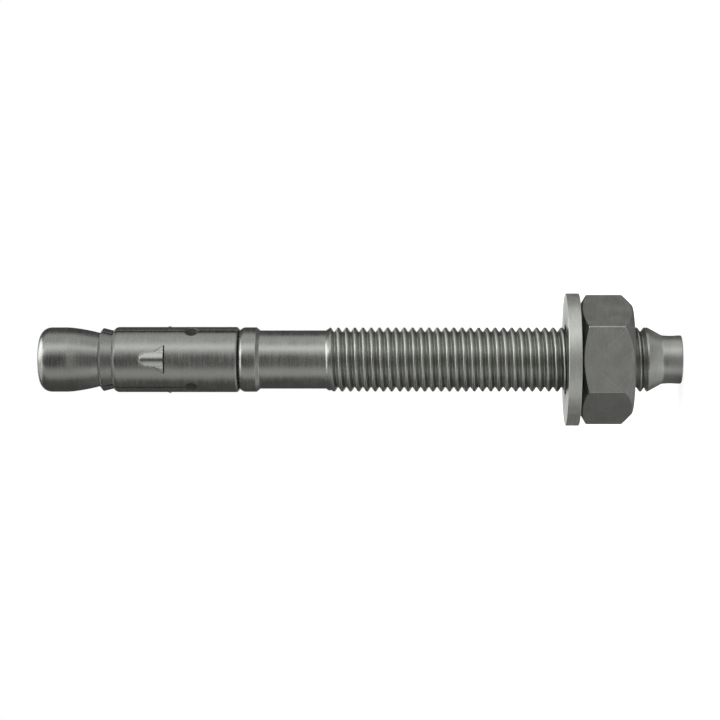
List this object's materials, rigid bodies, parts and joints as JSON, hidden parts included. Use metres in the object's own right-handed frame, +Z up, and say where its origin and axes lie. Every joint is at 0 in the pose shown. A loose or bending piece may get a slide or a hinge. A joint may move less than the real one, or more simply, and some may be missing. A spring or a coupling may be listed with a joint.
{
  "type": "wedge anchor",
  "caption": "Steel wedge anchor for concrete: a threaded bolt with a cone end, a slit expansion clip, a washer and a hexagon nut.",
  "frame": {"origin": "on the ground, under the middle of the object's bounding box, which is the centre of the driving pin's flat end; the anchor stands on its pin", "axes": "+Z up along the anchor's own axis, from the driving pin to the cone end; -Y the front, with one lug of the clip facing it; +X to the right seen from the front"},
  "size_m": [0.02, 0.02, 0.0971],
  "materials": {
    "bolt_steel": "turned and rolled plain steel, fine circumferential marks",
    "clip_steel": "rolled sheet steel with fine circumferential marks",
    "washer_steel": "punched sheet steel, smooth faces and a sheared rim",
    "nut_steel": "matt cold-formed steel with fine handling scratches"
  },
  "bodies": {
    "bolt": {"cone_bolt": "bolt_steel"},
    "clip": {"expansion_clip": "clip_steel"},
    "washer": {"washer": "washer_steel"},
    "nut": {"hex_nut": "nut_steel"}
  },
  "joints": [
    {"name": "clip_turn", "type": "hinge", "parent": "bolt", "child": "clip", "pos_m": [0, 0, 0.07735], "axis": [0, 0, -1], "continuous": true},
    {"name": "washer_slide", "type": "slide", "parent": "bolt", "child": "washer", "axis": [0, 0, -1], "range_m": [-0.03626, 0.01001]},
    {"name": "nut_turn", "type": "hinge", "parent": "washer", "child": "nut", "pos_m": [0, 0, 0.01545], "axis": [0, 0, -1], "range_deg": [-10440, 2880]}
  ],
  "couplings": [
    {"joint": "washer_slide", "follows": "nut_turn", "m_per_rad": 0.00019894}
  ]
}
